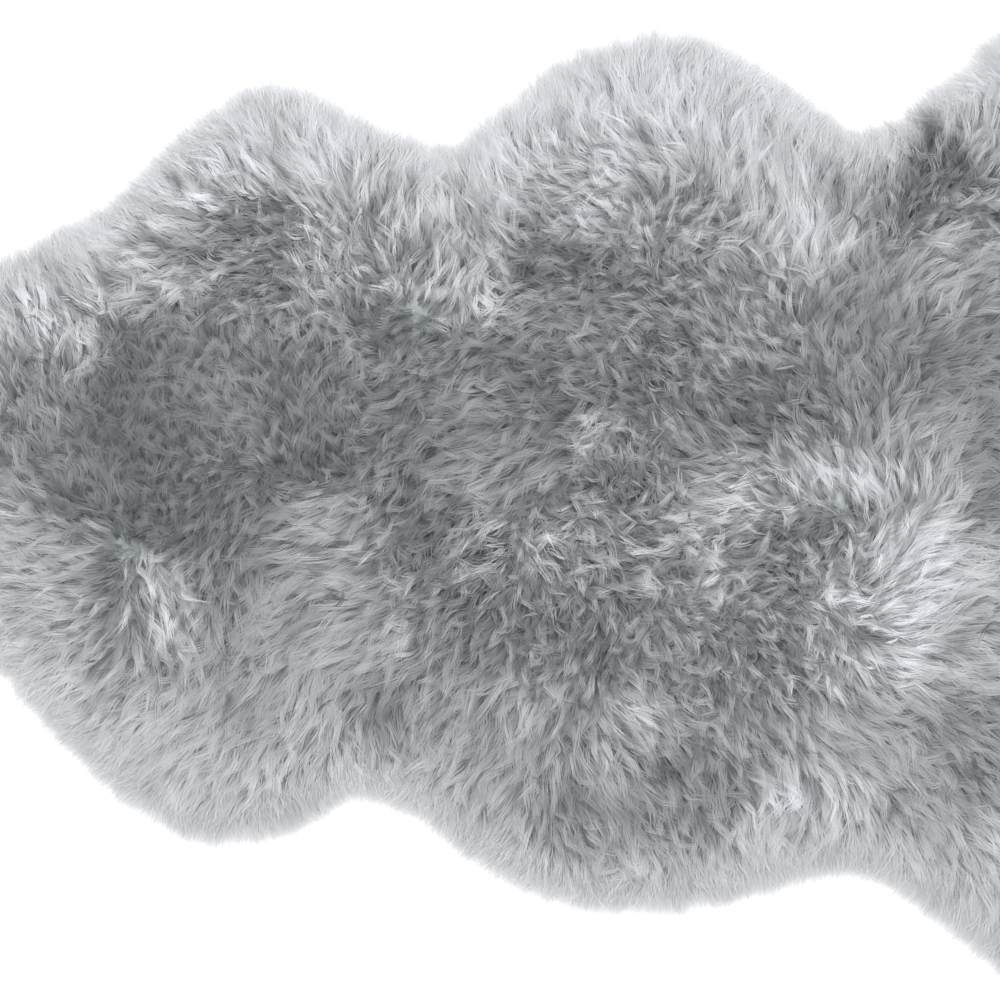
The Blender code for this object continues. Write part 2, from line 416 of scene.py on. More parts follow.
def blades(middle: np.ndarray, side: np.ndarray, width: np.ndarray) -> np.ndarray:
    """Gives strands their width.

    Args:
        middle: Their middle lines, by strand and station.
        side: The way across them, by strand and station.
        width: Their widths, by strand and station.

    Returns:
        Their points, by strand, station, side and axis.
    """
    half = side * (width / 2)[..., None]
    return np.stack([middle - half, middle + half], axis=2)


@dataclass(frozen=True)
class Chart:
    """Values on a square grid in plan, which are read smoothly between its points."""

    low: np.ndarray
    step: float
    values: np.ndarray

    def read(self, places: np.ndarray) -> np.ndarray:
        """Reads the chart.

        Args:
            places: Places in plan, in an array of any shape whose last axis is along and across.

        Returns:
            The chart's values there.
        """
        rows, columns = self.values.shape[:2]
        spot = ((places - self.low) / self.step).clip(0, (columns - 1.001, rows - 1.001))
        cell = spot.astype(int)
        along, across = np.moveaxis(spot - cell, -1, 0)
        column, row = np.moveaxis(cell, -1, 0)
        if self.values.ndim == 3:
            along, across = along[..., None], across[..., None]
        near = self.values[row, column] * (1 - along) + self.values[row, column + 1] * along
        far = self.values[row + 1, column] * (1 - along) + self.values[row + 1, column + 1] * along
        return near * (1 - across) + far * across


@dataclass
class Pelt:
    """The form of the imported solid, charted in plan: its edge, and how high its wool reaches."""

    node: bpy.types.Object
    step: float = 0.004
    margin: float = 0.040
    droop: float = 0.7
    least_height: float = 0.004
    lay_softness: float = 0.007
    sharpest_curve: float = 60.0
    joining: float = 1e-5
    edge: np.ndarray = field(init=False)
    low: np.ndarray = field(init=False)
    grid: np.ndarray = field(init=False)
    depth: Chart = field(init=False)
    outward: Chart = field(init=False)
    roundness: Chart = field(init=False)
    lay: Chart = field(init=False)
    top: Chart = field(init=False)

    def __post_init__(self) -> None:
        """Charts the solid once, when the pelt is made."""
        deselect_all()
        copy = self.node.copy()
        copy.data = self.node.data.copy()
        bpy.context.collection.objects.link(copy)
        bpy.context.view_layer.objects.active = copy
        copy.select_set(True)
        bpy.ops.object.mode_set(mode="EDIT")
        bpy.ops.mesh.select_all(action="SELECT")
        bpy.ops.mesh.remove_doubles(threshold=self.joining)
        bpy.ops.object.mode_set(mode="OBJECT")
        self.edge = self._silhouette(copy.data)
        low, high = self.box()
        self.low, high = low - self.margin, high + self.margin
        along, across = (np.arange(self.low[axis], high[axis], self.step) for axis in (0, 1))
        self.grid = np.stack(np.meshgrid(along, across), axis=2)
        self._chart_edge()
        self._chart_top(copy)
        bpy.data.objects.remove(copy)

    def box(self) -> tuple[np.ndarray, np.ndarray]:
        """Finds the low and high corners of the edge in plan."""
        return self.edge.min(axis=0), self.edge.max(axis=0)

    def chart(self, values: np.ndarray) -> Chart:
        """Makes a chart of values on the pelt's own grid."""
        return Chart(self.low, self.step, values)

    def spread(self, flow: np.ndarray) -> np.ndarray:
        """Finds how fast a flow on the pelt's grid spreads apart at each place."""
        return np.gradient(flow[..., 0], self.step, axis=1) + np.gradient(flow[..., 1], self.step, axis=0)

    def _silhouette(self, mesh: bpy.types.Mesh) -> np.ndarray:
        """Finds the solid's widest loop, where its faces turn from looking down to looking up.

        Args:
            mesh: The solid, with its faces joined.

        Returns:
            The loop's points in plan, in order.
        """
        facing: dict[tuple[int, int], list[bool]] = {}
        for face in mesh.polygons:
            for pair in face.edge_keys:
                facing.setdefault(pair, []).append(face.normal.z > 0)
        links: dict[int, list[int]] = {}
        for (start, end), sides in facing.items():
            if len(set(sides)) == 2:
                links.setdefault(start, []).append(end)
                links.setdefault(end, []).append(start)
        first = next(iter(links))
        loop, last = [first], links[first][0]
        while last != first:
            loop.append(last)
            last = next(point for point in links[last] if point != loop[-2])
        return np.array([mesh.vertices[point].co.xy for point in loop])

    def _chart_edge(self) -> None:
        """Charts how deep inside the edge each place is, which way the edge lies, and how it curves.

        Its roundness is above 0 where it bulges and below 0 in a notch.
        """
        start, run = self.edge, np.roll(self.edge, -1, axis=0) - self.edge
        depth, outward = np.zeros(self.grid.shape[:2]), np.zeros(self.grid.shape)
        for row, places in enumerate(self.grid):
            offset = places[:, None, :] - start
            share = ((offset * run).sum(axis=2) / (run * run).sum(axis=1)).clip(0, 1)
            way = share[..., None] * run - offset
            apart = np.linalg.norm(way, axis=2)
            nearest = apart.argmin(axis=1)
            above = start[:, 1] > places[:, 1:]
            crossing = start[:, 0] + run[:, 0] * (places[:, 1:] - start[:, 1]) / (run[:, 1] + 1e-12)
            crossed = (above != np.roll(above, -1, axis=1)) & (places[:, :1] < crossing)
            sign = np.where(crossed.sum(axis=1) % 2 == 1, 1.0, -1.0)
            pick = np.arange(len(places))
            depth[row] = sign * apart[pick, nearest]
            outward[row] = way[pick, nearest] * (sign / (apart[pick, nearest] + 1e-9))[:, None]
        curve = self.spread(outward).clip(-self.sharpest_curve, self.sharpest_curve)
        self.depth, self.outward = self.chart(depth), self.chart(outward)
        self.roundness = self.chart(low_pass(curve, self.lay_softness / self.step))

    def _chart_top(self, solid: bpy.types.Object) -> None:
        """Charts the wool's height, and the softer lay that its tips follow down past the edge.

        Args:
            solid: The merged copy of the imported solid.
        """
        tree = BVHTree.FromObject(solid, bpy.context.evaluated_depsgraph_get())
        sky, down = 1.0, Vector((0, 0, -1))
        top = np.full(self.grid.shape[:2], np.nan)
        for row, column in zip(*np.nonzero(self.depth.values > 0)):
            hit = tree.ray_cast(Vector((*self.grid[row, column], sky)), down)[0]
            if hit is not None:
                top[row, column] = hit.z
        bulge = np.nanmin(top)
        beyond = bulge + self.droop * np.minimum(self.depth.values, 0)
        top = np.where(np.isnan(top), beyond, top).clip(self.least_height)
        self.top = self.chart(top)
        self.lay = self.chart(low_pass(top, self.lay_softness / self.step))


@dataclass
class Combing:
    """Which way the wool leans at each place, how far, how it curls and parts, and how light it looks, its
    own grey with painted light and shade.
    """

    pelt: Pelt
    rng: np.random.Generator
    edge_reach: float = 0.028
    edge_pull: float = 2.5
    edge_lean: float = 0.9
    edge_curl: float = 0.15
    edge_parting: float = 0.05
    # The rim's lightness, like the table's, is the wool's grey with painted light and shade in it.
    edge_lightness: float = 0.65
    edge_cover: float = 0.85
    # Painted shade: the rim darkens towards the right flank, away from the key light.
    right_dimming: float = 0.01
    dimming_reach: float = 0.1
    stroke_fall: float = 1.5
    middle_lightness: float = 0.63
    contrast: float = 2.4
    broad_drift: float = 0.030
    broad_turn: float = 0.10
    fine_drift: float = 0.009
    fine_turn: float = 0.20
    # Where the combing spreads apart the wool parts further: its locks gather more and painted shade deepens
    # there.
    spread_parting: float = 0.006
    most_spread_parting: float = 0.6
    broad_mottle: float = 0.05
    broad_mottle_reach: float = 0.020
    fine_mottle: float = 0.07
    fine_mottle_reach: float = 0.008
    closed_share: float = 0.3
    mark_step: float = 0.0015
    way: Chart = field(init=False)
    accord: Chart = field(init=False)
    lean: Chart = field(init=False)
    curl: Chart = field(init=False)
    parting: Chart = field(init=False)
    tone: Chart = field(init=False)
    marks: Chart = field(init=False)

    def __post_init__(self) -> None:
        """Charts the combing once, when it is made."""
        self.marks = self._chart_marks()
        way, traits, total = self._blend_strokes()
        self.accord = self.pelt.chart(np.abs(way) / total)
        flow = way / total
        spread = self.pelt.spread(np.stack([flow.real, flow.imag], axis=2))
        # Parting grows where the combing spreads apart, deepening the painted shade there.
        traits[..., 2] += (self.spread_parting * spread).clip(0, self.most_spread_parting)
        turn = self.broad_turn * self._drift(self.broad_drift)
        turn += self.fine_turn * self._drift(self.fine_drift)
        way = way / (np.abs(way) + 1e-9) * np.exp(1j * turn)
        self.way = self.pelt.chart(np.stack([way.real, way.imag], axis=2))
        self.lean, self.curl, self.parting = (self.pelt.chart(traits[..., trait]) for trait in range(3))
        mottle = self.broad_mottle * self._drift(self.broad_mottle_reach)
        mottle += self.fine_mottle * self._drift(self.fine_mottle_reach)
        # The tone carries the table's lightness, painted light and shade included, with random mottle.
        lightness = (traits[..., 3] / self.middle_lightness) ** self.contrast
        self.tone = self.pelt.chart(lightness * np.exp(self.unevenness(traits[..., 2]) * mottle))

    def _blend_strokes(self) -> tuple[np.ndarray, np.ndarray, np.ndarray]:
        """Blends the outward lay of the edge with the table's strokes, each of which fades over its reach.

        Returns:
            The way the wool leans, as complex numbers, its lean, curl, parting and lightness in layers, and
            the strokes' whole weight, each on the pelt's grid.
        """
        grid, depth = self.pelt.grid, self.pelt.depth.values
        edge_share = np.exp(-((depth.clip(0) / self.edge_reach) ** 2))
        total = self.edge_pull * edge_share + 1e-6
        way = total[..., None] * self.pelt.outward.values
        edge = np.array([self.edge_lean, self.edge_curl, self.edge_parting, self.edge_lightness])
        traits = total[..., None] * edge
        # Painted shade on the rim towards the right flank, the side away from the key light.
        traits[..., 3] -= total * self.right_dimming * (1 - np.tanh(grid[..., 1] / self.dimming_reach))
        for along, across, reach, turn, *stroke in read_table((row[1:] for row in COMBING), 3):
            apart = np.linalg.norm(grid - (along, across), axis=2)
            weight = np.exp(-self.stroke_fall * (apart / reach) ** 2) * (1 - self.edge_cover * edge_share)
            way += weight[..., None] * np.array([math.cos(turn), math.sin(turn)])
            traits += weight[..., None] * np.array(stroke)
            total = total + weight
        return way[..., 0] + 1j * way[..., 1], traits / total[..., None], total

    def heading(self, places: np.ndarray) -> np.ndarray:
        """Reads which way the wool leans at each place, in radians."""
        way = self.way.read(places)
        return np.arctan2(way[:, 1], way[:, 0])

    def openness(self, places: np.ndarray) -> np.ndarray:
        """Reads how far the wool parts at each place, from 0 to 1."""
        return self.parting.read(places).clip(0, 1)

    def unevenness(self, parting: np.ndarray) -> np.ndarray:
        """Finds how uneven wool is that parts so far, as a share of fully parted wool."""
        return self.closed_share + (1 - self.closed_share) * parting

    def _chart_marks(self) -> Chart:
        """Charts the painted shade of the gaps and the painted highlights of the bright locks.

        Returns:
            How far they change the shade's logarithm, on a grid fine enough for the narrowest.
        """
        low, high = self.pelt.box()
        lines = [np.arange(start, end, self.mark_step) for start, end in zip(low, high)]
        grid = np.stack(np.meshgrid(*lines), axis=2)
        change = np.zeros(grid.shape[:2])
        for along, across, length, breadth, turn, depth in named_marks():
            offset = grid - (along, across)
            run = offset @ (math.cos(turn), math.sin(turn)) / (length / 2)
            side = offset @ (-math.sin(turn), math.cos(turn)) / (breadth / 2)
            change += depth * np.exp(-(run**2) - side**2)
        return Chart(low, self.mark_step, change)

    def _drift(self, reach: float) -> np.ndarray:
        """Draws smooth random values.

        Args:
            reach: The distance over which they change, in metres.

        Returns:
            Values on the pelt's grid, with a standard deviation of one.
        """
        noise = low_pass(self.rng.standard_normal(self.pelt.grid.shape[:2]), reach / self.pelt.step / 2)
        return noise / noise.std()


@dataclass(frozen=True)
class WoolFinish:
    """Dyed long wool: each strand takes its colour from its own colour attribute, its grey with painted
    shade and painted highlights.
    """

    name: str = "grey_wool"
    attribute: str = "shade"
    roughness: float = 0.55
    sheen: float = 0.25
    gloss: float = 0.3
    thinness: float = 0.60

    def make(self) -> bpy.types.Material:
        """Makes the material.

        Returns:
            A rough, slightly sheeny shader mixed with the light that passes through thin wool.
        """
        material, shader = new_material(self.name, self.roughness, self.sheen)
        nodes, links = material.node_tree.nodes, material.node_tree.links
        shader.inputs["Specular IOR Level"].default_value = self.gloss
        colour = painted_colour(material, self.attribute)
        through = nodes.new("ShaderNodeBsdfTranslucent")
        mix = nodes.new("ShaderNodeMixShader")
        mix.inputs["Fac"].default_value = self.thinness
        links.new(colour, shader.inputs["Base Color"])
        links.new(colour, through.inputs["Color"])
        links.new(shader.outputs["BSDF"], mix.inputs[1])
        links.new(through.outputs["BSDF"], mix.inputs[2])
        links.new(mix.outputs["Shader"], nodes["Material Output"].inputs["Surface"])
        return material


@dataclass(frozen=True)
class MottledFinish:
    """A rough surface whose colour and relief vary with noise, such as suede or matted underwool.

    Where it names a colour attribute, the noise only tints that.
    """

    name: str
    dark: tuple[float, float, float, float]
    light: tuple[float, float, float, float]
    grain: float
    relief: float
    roughness: float = 0.9
    sheen: float = 0.0
    attribute: str = ""
    detail: float = 5.0
    ramp: tuple[float, float] = (0.35, 0.65)

    def make(self) -> bpy.types.Material:
        """Makes the material.

        Returns:
            A rough shader with noise at the grain's scale in its colour and its bump.
        """
        material, shader = new_material(self.name, self.roughness, self.sheen)
        nodes, links = material.node_tree.nodes, material.node_tree.links
        place = nodes.new("ShaderNodeTexCoord")
        noise = nodes.new("ShaderNodeTexNoise")
        noise.inputs["Scale"].default_value = 1 / self.grain
        noise.inputs["Detail"].default_value = self.detail
        ramp = nodes.new("ShaderNodeValToRGB")
        for stop, position, colour in zip(ramp.color_ramp.elements, self.ramp, (self.dark, self.light)):
            stop.position, stop.color = position, colour
        bump = nodes.new("ShaderNodeBump")
        bump.inputs["Distance"].default_value = self.relief
        links.new(place.outputs["Object"], noise.inputs["Vector"])
        links.new(noise.outputs["Fac"], ramp.inputs["Fac"])
        links.new(noise.outputs["Fac"], bump.inputs["Height"])
        colour = ramp.outputs["Color"]
        if self.attribute:
            tint = nodes.new("ShaderNodeMix")
            tint.data_type, tint.blend_type = "RGBA", "MULTIPLY"
            tint.inputs["Factor"].default_value = 1.0
            links.new(painted_colour(material, self.attribute), tint.inputs["A"])
            links.new(colour, tint.inputs["B"])
            colour = tint.outputs["Result"]
        links.new(colour, shader.inputs["Base Color"])
        links.new(bump.outputs["Normal"], shader.inputs["Normal"])
        return material


@dataclass
class PlanSlab:
    """A closed slab inside the pelt's edge, with a gridded top and a flat underside."""

    pelt: Pelt
    name: str
    inset: float
    mesh_size: float
    underside: float
    first_thickness: float = 0.001

    def build(self) -> bpy.types.Object:
        """Cuts the slab's plan out of a grid and gives it a first thickness.

        Returns:
            The slab's object, whose top still lies flat.
        """
        low, high = self.pelt.box()
        columns, rows = (int(count) for count in np.ceil((high - low) / self.mesh_size))
        deselect_all()
        bpy.ops.mesh.primitive_grid_add(x_subdivisions=columns, y_subdivisions=rows, size=1)
        slab = bpy.context.object
        slab.name = slab.data.name = self.name
        slab.scale = (high[0] - low[0], high[1] - low[1], 1)
        slab.location = ((low[0] + high[0]) / 2, (low[1] + high[1]) / 2, self.underside)
        bpy.ops.object.transform_apply(location=True, rotation=True, scale=True)
        self._cut_plan(slab)
        bpy.ops.object.mode_set(mode="EDIT")
        bpy.ops.mesh.select_all(action="SELECT")
        bpy.ops.mesh.extrude_region_move(TRANSFORM_OT_translate={"value": (0, 0, self.first_thickness)})
        bpy.ops.mesh.select_all(action="SELECT")
        bpy.ops.mesh.normals_make_consistent(inside=False)
        bpy.ops.object.mode_set(mode="OBJECT")
        return slab

    def _cut_plan(self, slab: bpy.types.Object) -> None:
        """Deletes the grid's faces past the inset line, and draws its new rim out to that line.

        Args:
            slab: The whole grid.
        """
        middles = np.array([face.center.xy for face in slab.data.polygons])
        outside = self.pelt.depth.read(middles) < self.inset
        bpy.ops.object.mode_set(mode="EDIT")
        bpy.ops.mesh.select_all(action="DESELECT")
        bpy.ops.mesh.select_mode(type="FACE")
        bpy.ops.object.mode_set(mode="OBJECT")
        slab.data.polygons.foreach_set("select", outside)
        bpy.ops.object.mode_set(mode="EDIT")
        bpy.ops.mesh.delete(type="FACE")
        bpy.ops.mesh.select_mode(type="VERT")
        bpy.ops.mesh.select_all(action="DESELECT")
        bpy.ops.mesh.select_non_manifold()
        bpy.ops.object.mode_set(mode="OBJECT")
        for point in slab.data.vertices:
            if point.select:
                place = np.array([point.co.xy])
                shift = self.pelt.depth.read(place)[0] - self.inset
                point.co.xy += Vector(self.pelt.outward.read(place)[0] * shift)

    def top_points(self, slab: bpy.types.Object) -> np.ndarray:
        """Finds the points of the slab's upper face, by height."""
        heights = np.array([point.co.z for point in slab.data.vertices])
        return np.nonzero(heights > self.underside + self.first_thickness / 2)[0]


@dataclass
class Hide:
    """The tanned skin, suede side down, which carries the wool."""

    pelt: Pelt
    inset: float = 0.017
    thickness: float = 0.0022
    mesh_size: float = 0.010
    finish: MottledFinish = MottledFinish(
        "suede_hide", (0.30, 0.28, 0.26, 1), (0.46, 0.43, 0.40, 1), grain=0.006, relief=0.0004, sheen=0.2
    )

    def build(self) -> bpy.types.Object:
        """Builds the skin as a thin closed sheet, flat on the floor.

        Returns:
            The hide.
        """
        slab = PlanSlab(self.pelt, "hide", self.inset, self.mesh_size, 0.0)
        hide = slab.build()
        for point in slab.top_points(hide):
            hide.data.vertices[point].co.z = self.thickness
        hide.data.materials.append(self.finish.make())
        ride_on_rug(hide)
        log.info("hide: %d faces", len(hide.data.polygons))
        return hide


@dataclass
class Underwool:
    """The dense short wool near the skin, closed all round, from which the locks stand up."""

    pelt: Pelt
    combing: Combing
    rng: np.random.Generator
    inset: float = 0.019
    mesh_size: float = 0.0060
    underside: float = 0.0026
    rim_height: float = 0.003
    below_tips: float = 0.017
    crown: float = 0.030
    lumps: float = 0.0015
    lump_steps: float = 1.2
    # The underwool's colour is the wool's grey with painted shade: darker than the tips, as under the locks,
    # and darker still where they part.
    shade: float = 0.45
    brightest: float = 0.8
    tone_share: float = 0.6
    parting_share: float = 0.3
    tint: tuple[float, float, float] = (0.94, 1.0, 1.03)
    finish: MottledFinish = MottledFinish(
        "grey_underwool", (0.7, 0.7, 0.7, 1), (1, 1, 1, 1), grain=0.004, relief=0.002, attribute="shade"
    )
    height: Chart = field(init=False)

    def __post_init__(self) -> None:
        """Charts the top of the underwool, a low dome inside its rim."""
        share = ((self.pelt.depth.values - self.inset) / self.crown).clip(0, 1)
        dome = np.sqrt(1 - (1 - share) ** 2)
        low = self.underside + self.rim_height
        noise = low_pass(self.rng.standard_normal(share.shape), self.lump_steps)
        full = self.pelt.top.values - self.below_tips + self.lumps * noise / noise.std()
        self.height = self.pelt.chart(low + (full - low).clip(0) * dome)

    def build(self) -> bpy.types.Object:
        """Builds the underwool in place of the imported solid.

        Returns:
            The underwool.
        """
        slab = PlanSlab(self.pelt, "underwool", self.inset, self.mesh_size, self.underside)
        wool = slab.build()
        tops = slab.top_points(wool)
        places = np.array([wool.data.vertices[point].co.xy for point in tops])
        for point, height in zip(tops, self.height.read(places)):
            wool.data.vertices[point].co.z = height
        everywhere = np.array([point.co.xy for point in wool.data.vertices])
        # Painted shade: coloured like wool in the shadow of the locks, darker where they part, with the
        # painted light and shade of the tone and marks.
        tone = self.combing.tone.read(everywhere) * np.exp(self.combing.marks.read(everywhere))
        closed = 1 - self.parting_share * self.combing.openness(everywhere)
        shades = (self.shade * closed * tone**self.tone_share).clip(0, self.brightest)
        paint(wool.data, self.finish.attribute, shades[:, None] * np.array(self.tint))
        wool.data.materials.append(self.finish.make())
        wool.data.shade_smooth()
        ride_on_rug(wool)
        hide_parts(SHEEPSKIN_NODE)
        log.info("underwool: %d faces", len(wool.data.polygons))
        return wool


@dataclass(frozen=True)
class Lock:
    """How a kind of lock is made up."""

    strands: int
    width: float
    strand_width: float
    gathering: float
    loose_share: float


@dataclass(frozen=True)
class Growth:
    """How the middle line of a lock rises, turns and lies over."""

    steps: int = 14
    short_reach: float = 0.011
    long_reach: float = 0.037
    reach_range: tuple[float, float] = (0.75, 1.15)
    lean_spread: float = 0.10
    most_lean: float = 1.1
    combed_spread: float = 0.13
    upright_spread: float = 0.22
    swirl_spread: float = 1.4
    fringe: float = 0.0080
    fringe_inside: float = -0.002
    notch_share: float = 0.045
    notch_range: tuple[float, float] = (0.1, 1.2)
    trims: int = 3
    turn_spread: float = 0.4
    uncurled_turn: float = 0.4
    curl_turn: float = 0.7
    bend: float = 1.2
    wave_spread: float = 0.5
    wave_turn: float = 9.0
    slow_start: float = 1.35
    rise: float = 2.1
    tip_droop: float = 0.0035
    least_height: float = 0.001


@dataclass(frozen=True)
class Strand:
    """How a strand strays from the middle of its lock, tapers, and takes painted shade that deepens towards
    its root.
    """

    stations: tuple[float, ...] = (0.2, 0.62, 1.0)
    length_range: tuple[float, float] = (0.80, 1.05)
    longest: float = 1.04
    lock_flatness: float = 0.35
    stray: float = 0.0009
    loose_stray: float = 0.0050
    stray_shape: tuple[float, float, float] = (1, 1, 0.45)
    loose_gathering: float = 0.1
    closed_gathering: float = 0.1
    least_height: float = 0.0008
    tilt: float = 0.03
    width_range: tuple[float, float] = (0.7, 1.25)
    taper: float = 0.60
    tip_shade: float = 0.68
    # Painted shade towards the root, deeper where the locks part.
    soft_root: float = 0.90
    parted_root: float = 0.34
    root_fade: float = 1.5
    # Painted shade on locks that stand lower than their neighbours, and on the strands at a lock's sides.
    height_shade: float = 0.10
    height_shades: tuple[float, float] = (0.3, 2.2)
    standing_range: tuple[float, float] = (-1.8, 1.5)
    side_shade: float = 0.312


@dataclass(frozen=True)
class PaintedTuft:
    """How the short strands lie that stand for painted shade in a gap, or a painted highlight on a lock."""

    strands: int = 10
    stations: tuple[float, ...] = (-0.5, 0.1, 0.5)
    reach: float = 0.6
    reach_range: tuple[float, float] = (0.7, 1.1)
    run_spread: float = 0.20
    bend_spread: float = 0.5
    turn_spread: float = 0.12
    height_spread: float = 0.0009
    width: float = 0.0006
    width_range: tuple[float, float] = (0.7, 1.2)
    width_shape: tuple[float, ...] = (0.4, 1.0, 0.0)
    # How light the strands are, and how far a mark darkens them into painted shade or lightens them into a
    # painted highlight.
    shade: float = 0.45
    dark_strength: float = 1.4
    bright_strength: float = 0.6
    strength_shape: tuple[float, ...] = (0.6, 1.0, 0.7)


@dataclass(frozen=True)
class PaintedGaps:
    """How many small gaps of painted shade are laid where the wool parts, how large they are, and how many
    are painted highlights.
    """

    trials: int = 13000
    bright_share: float = 0.15
    bright_change: float = -0.3
    length_range: tuple[float, float] = (0.008, 0.018)
    breadth_range: tuple[float, float] = (0.0018, 0.0038)
    depth_range: tuple[float, float] = (0.3, 0.9)
    combed_spread: float = 0.15
    curl_spread: float = 0.35


@dataclass
class Fleece:
    """The long wool: locks of tapered strands that rise from the underwool and lie over as combed."""

    pelt: Pelt
    combing: Combing
    underwool: Underwool
    rng: np.random.Generator
    finish: WoolFinish = WoolFinish()
    lock: Lock = Lock(strands=16, width=0.0031, strand_width=0.00048, gathering=0.4, loose_share=0.04)
    lock_spacing: float = 0.0056
    lock_scatter: float = 0.45
    wisp: Lock = Lock(strands=2, width=0.0020, strand_width=0.00050, gathering=0.2, loose_share=0.5)
    wisp_count: int = 28000
    wisp_trials: int = 12
    wisp_band: float = 0.016
    root_depth: float = 0.0015
    root_inset: float = 0.0185
    tip_proud: float = 0.0020
    height_spread: float = 0.0022
    growth: Growth = Growth()
    strand: Strand = Strand()
    painted_tuft: PaintedTuft = PaintedTuft()
    gaps: PaintedGaps = PaintedGaps()
    darkest: float = 0.02
    lightest: float = 0.82
    shadow_range: tuple[float, float] = (0.2, 0.5)
    shadow_tint: tuple[float, float, float] = (0.93, 1.0, 1.03)
    light_tint: tuple[float, float, float] = (0.99, 1.0, 1.025)
    cell_across: tuple[float, float] = (0.15, 0.85)
    cell_along: tuple[float, float] = (0.08, 0.92)

    def build(self) -> list[bpy.types.Object]:
        """Grows the locks and splits them into one piece for each region.

        Returns:
            The pieces, from neck to rump.
        """
        grown = [
            self._grow(self._roots(), self.lock),
            self._grow(self._edge_roots(), self.wisp),
            # Short dark and bright strands for the painted shade of the gaps and the painted highlights.
            self._painted_tufts(np.vstack([named_marks(), self._painted_gaps()])),
        ]
        points, colours = (np.concatenate(parts) for parts in zip(*grown))
        material = self.finish.make()
        (low, _), (high, _) = self.pelt.box()
        share = ((points[:, 0, 0, 0] - low) / (high - low)).clip(0, 0.999)
        pieces = []
        for region in Region:
            start, end = region.value
            mine = (share >= start) & (share < end)
            name = f"fleece_{region.name.lower()}"
            pieces.append(self._piece(name, points[mine], colours[mine], material))
        return pieces

    def _grow(self, roots: np.ndarray, kind: Lock) -> tuple[np.ndarray, np.ndarray]:
        """Grows one kind of lock.

        Args:
            roots: The locks' roots in plan.
            kind: What the locks are made up of.

        Returns:
            The strands' points and their colours.
        """
        standing = self.rng.normal(0, 1, len(roots))
        return self._strands(roots, self._lock_paths(roots, standing), standing, kind)

    def _roots(self) -> np.ndarray:
        """Spreads the locks' roots over the pelt, evenly but in no pattern.

        Returns:
            The roots in plan.
        """
        low, high = self.pelt.box()
        along = np.arange(low[0], high[0], self.lock_spacing)
        across = np.arange(low[1], high[1], self.lock_spacing * math.sqrt(3) / 2)
        roots = np.stack(np.meshgrid(along, across), axis=2)
        roots[1::2, :, 0] += self.lock_spacing / 2
        roots = roots.reshape(-1, 2)
        roots += self.rng.uniform(-self.lock_scatter, self.lock_scatter, roots.shape) * self.lock_spacing
        return roots[self.pelt.depth.read(roots) > self.root_inset]

    def _edge_roots(self) -> np.ndarray:
        """Spreads the roots of fine wisps along the edge.

        Returns:
            The roots in plan.
        """
        roots = self.rng.uniform(*self.pelt.box(), (self.wisp_count * self.wisp_trials, 2))
        depth = self.pelt.depth.read(roots)
        near = (depth > self.root_inset) & (depth < self.root_inset + self.wisp_band)
        return roots[near][: self.wisp_count]

    def _lock_paths(self, roots: np.ndarray, standing: np.ndarray) -> np.ndarray:
        """Grows each lock's middle line.

        Args:
            roots: The roots in plan.
            standing: How far each lock stands proud of its neighbours, with a standard deviation of one.

        Returns:
            For each lock, points from its root to its tip.
        """
        rng, count, growth = self.rng, len(roots), self.growth
        accord = self.combing.accord.read(roots)
        lean = self.combing.lean.read(roots) + rng.normal(0, growth.lean_spread, count)
        lean = (lean * accord**0.5).clip(0, growth.most_lean)
        curl = self.combing.curl.read(roots)
        spread = growth.combed_spread + growth.upright_spread * (1 - lean.clip(0, 1))
        spread += growth.swirl_spread * (1 - accord) ** 1.5
        heading = self.combing.heading(roots) + rng.normal(0, 1, count) * spread
        reach = growth.short_reach + (growth.long_reach - growth.short_reach) * lean
        reach *= rng.uniform(*growth.reach_range, count)
        reach = self._trimmed(roots, heading, reach)
        turn = rng.normal(0, growth.turn_spread, count) * (growth.uncurled_turn + curl)
        turn += rng.choice([-1, 1], count) * curl * growth.curl_turn
        wave, phase = rng.normal(0, growth.wave_spread, count), rng.uniform(0, 2 * math.pi, count)
        uneven = self.combing.unevenness(self.combing.openness(roots))
        proud = self.tip_proud + self.height_spread * uneven * standing
        start = self.underwool.height.read(roots) - self.root_depth
        plan, path = roots.copy(), np.zeros((count, growth.steps + 1, 3))
        path[:, 0] = np.column_stack([roots, start])
        for step in range(1, growth.steps + 1):
            share, before = step / growth.steps, (step - 1) / growth.steps
            bend = heading + growth.bend * turn * share**2 + wave * np.sin(phase + growth.wave_turn * share)
            stride = reach * (share**growth.slow_start - before**growth.slow_start)
            plan = plan + stride[:, None] * np.column_stack([np.cos(bend), np.sin(bend)])
            rise = 1 - (1 - share) ** growth.rise
            ceiling = self.pelt.lay.read(plan) + proud - growth.tip_droop * lean * share**4
            height = start + (ceiling - start) * rise
            path[:, step] = np.column_stack([plan, np.maximum(height, growth.least_height)])
        return path

    def _trimmed(self, roots: np.ndarray, heading: np.ndarray, reach: np.ndarray) -> np.ndarray:
        """Shortens the locks that would reach too far past the pelt's edge.

        Args:
            roots: The roots in plan.
            heading: Which way each lock lies, in radians.
            reach: How far each lock lies over.

        Returns:
            How far each lock may lie over, so that an uneven fringe shows past the edge.
        """
        growth, count = self.growth, len(roots)
        fringe = self.rng.normal(growth.fringe, growth.fringe / 2, count)
        fringe = fringe.clip(growth.fringe_inside, 2 * growth.fringe)
        fringe *= (1 + growth.notch_share * self.pelt.roundness.read(roots)).clip(*growth.notch_range)
        straight = np.column_stack([np.cos(heading), np.sin(heading)])
        for _ in range(growth.trims):
            beyond = -self.pelt.depth.read(roots + reach[:, None] * straight) - fringe
            reach = reach - beyond.clip(0)
        return reach

